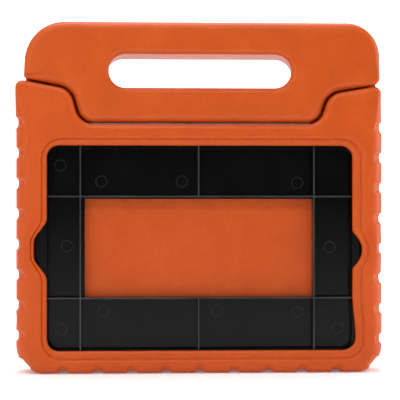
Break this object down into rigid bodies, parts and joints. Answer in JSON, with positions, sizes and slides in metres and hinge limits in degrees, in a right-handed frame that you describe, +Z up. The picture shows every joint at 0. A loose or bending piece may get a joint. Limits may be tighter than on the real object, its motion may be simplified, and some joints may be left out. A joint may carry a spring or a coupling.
{
  "type": "tablet case",
  "caption": "Orange moulded-foam carry case for a small tablet, with a foam handle that folds back as a stand and a black ribbed insert frame in the tablet pocket.",
  "frame": {"origin": "on the surface the case stands on, under the middle of its box", "axes": "+X across to the right as seen from the front, +Y from the front to the back, +Z up"},
  "size_m": [0.23, 0.028, 0.22],
  "materials": {
    "body_foam": "moulded EVA foam, fine leather grain, satin",
    "handle_foam": "moulded EVA foam, fine leather grain, satin",
    "insert_plastic": "injection moulded black plastic, satin",
    "pivot_plastic": "injection moulded black plastic",
    "cap_plastic": "moulded plastic, satin",
    "friction_pad": "moulded rubber, matt",
    "pivot_steel": "zinc-plated steel"
  },
  "bodies": {
    "case": {"foam_body": "body_foam", "insert_frame": "insert_plastic", "pivot_boss_left": "pivot_plastic", "pivot_boss_right": "pivot_plastic", "friction_washer_left": "friction_pad", "friction_washer_right": "friction_pad", "retaining_washer_left": "pivot_steel", "retaining_washer_right": "pivot_steel", "pivot_screw_left": "pivot_steel", "pivot_screw_right": "pivot_steel"},
    "handle": {"foam_handle": "handle_foam", "hinge_arm_left": "pivot_plastic", "hinge_arm_right": "pivot_plastic", "pivot_cap_left": "cap_plastic", "pivot_cap_right": "cap_plastic"}
  },
  "joints": [
    {"name": "handle_swing", "type": "hinge", "parent": "case", "child": "handle", "pos_m": [0, 0.0078, 0.095], "axis": [-1, 0, 0], "range_deg": [0, 120]}
  ]
}
